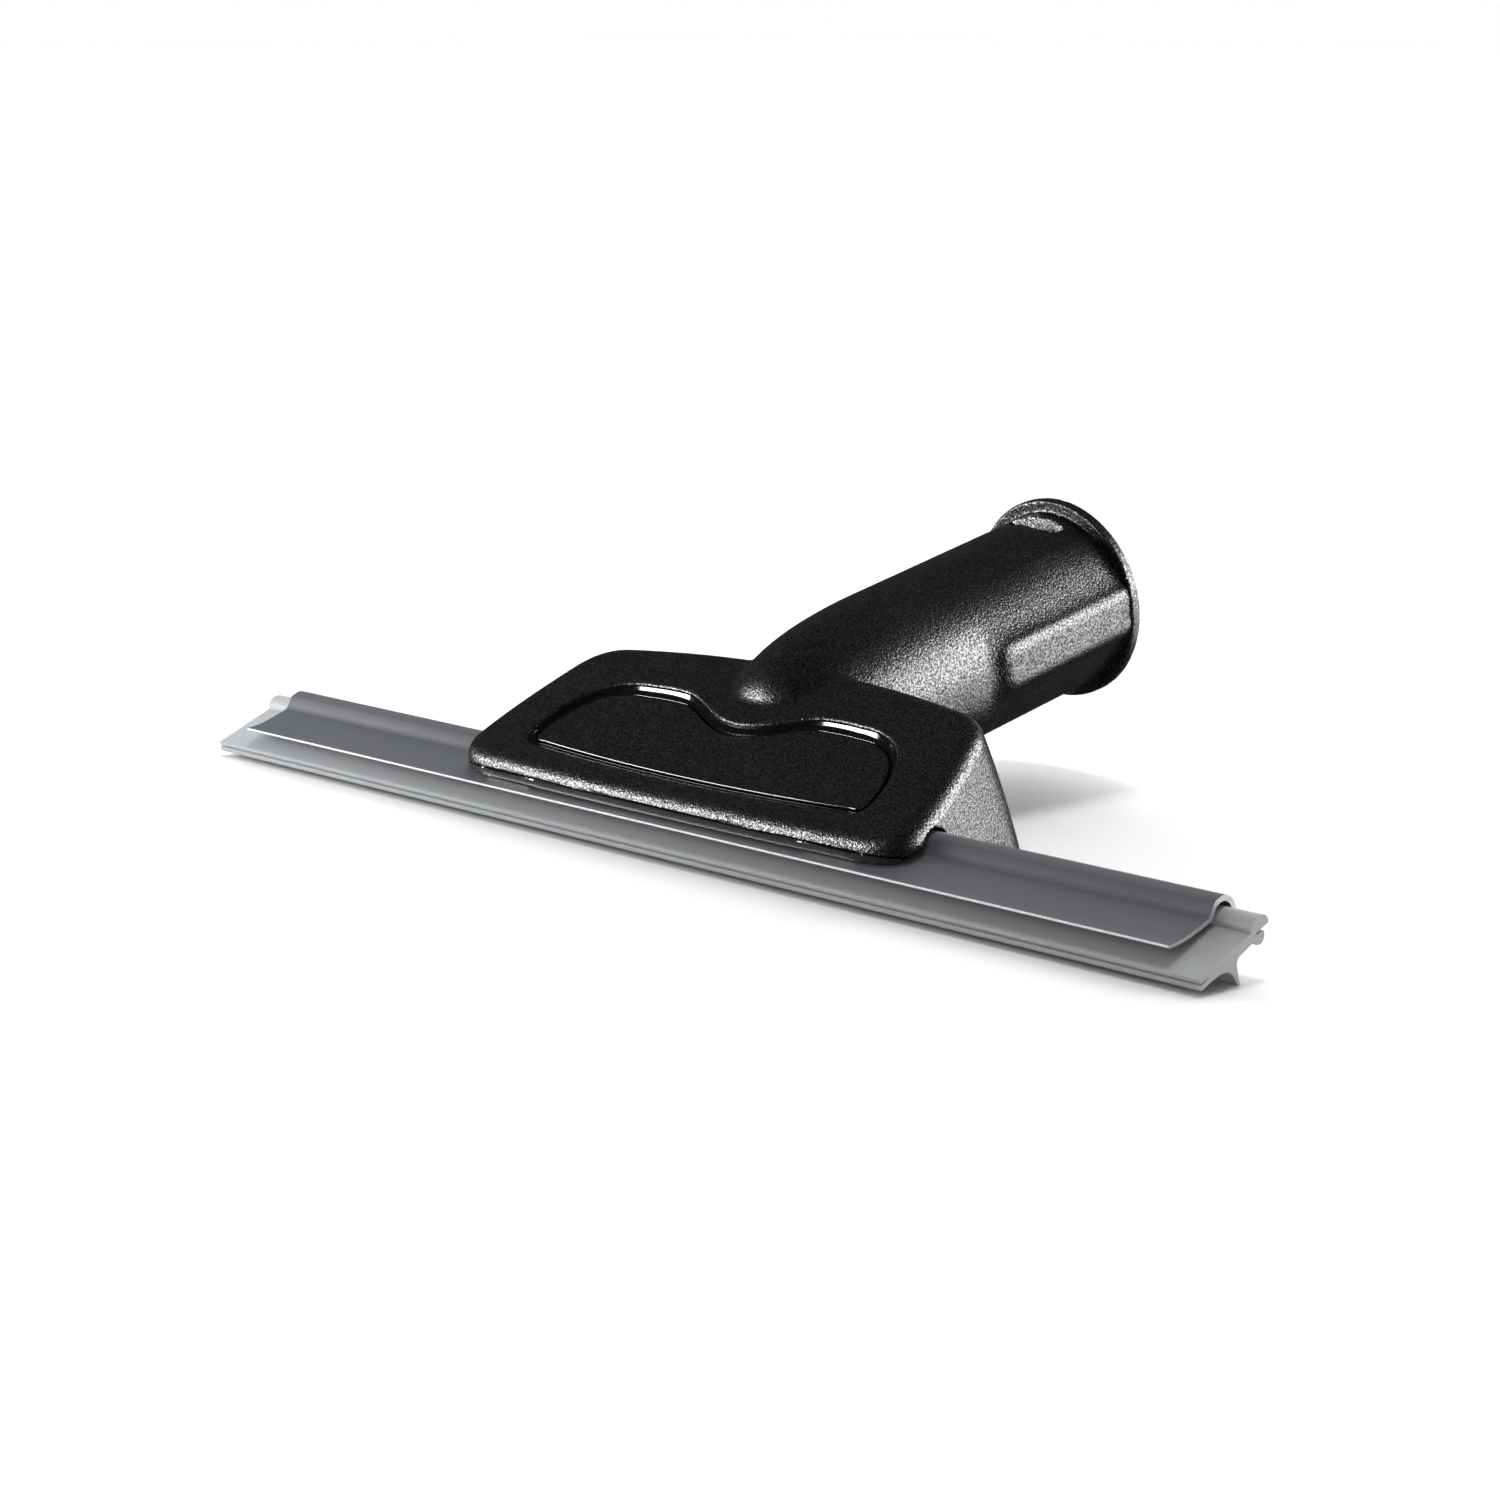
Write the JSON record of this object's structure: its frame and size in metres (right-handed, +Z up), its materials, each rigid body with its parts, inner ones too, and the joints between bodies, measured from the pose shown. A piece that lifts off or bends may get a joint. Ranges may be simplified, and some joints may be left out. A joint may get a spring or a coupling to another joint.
{
  "type": "window cleaning squeegee",
  "caption": "Window squeegee head for a steam cleaner: wide rubber blade in a clamp rail under a black hood, with a tubular socket behind that pushes onto the steam gun.",
  "frame": {"origin": "centre of the box's underside: the level of the hood's lower rim", "axes": "+X along the blade to its right end, +Y from the blade towards the socket, +Z up from the rim it stands on"},
  "size_m": [0.28, 0.1296, 0.0601],
  "materials": {
    "textured_black": "black plastic with a fine spark-eroded texture, its recess border polished",
    "smooth_black": "smooth satin charcoal plastic",
    "rail_grey": "satin mid grey",
    "blade_rubber": "soft light grey rubber",
    "seal_rubber": "black sealing rubber",
    "screw_steel": "zinc-plated steel"
  },
  "bodies": {
    "nozzle": {"hood_shell": "textured_black", "inset_panel": "textured_black", "rail_carrier": "smooth_black", "steam_diffuser": "smooth_black", "clamp_rail": "rail_grey", "socket_seal": "seal_rubber", "carrier_screw_left": "screw_steel", "carrier_screw_right": "screw_steel", "diffuser_screw_front_left": "screw_steel", "diffuser_screw_front_right": "screw_steel", "diffuser_screw_rear_left": "screw_steel", "diffuser_screw_rear_right": "screw_steel"},
    "blade": {"rubber_blade": "blade_rubber"}
  },
  "joints": [
    {"name": "blade_slide", "type": "slide", "parent": "nozzle", "child": "blade", "axis": [1, 0, 0], "range_m": [0, 0.272]}
  ]
}
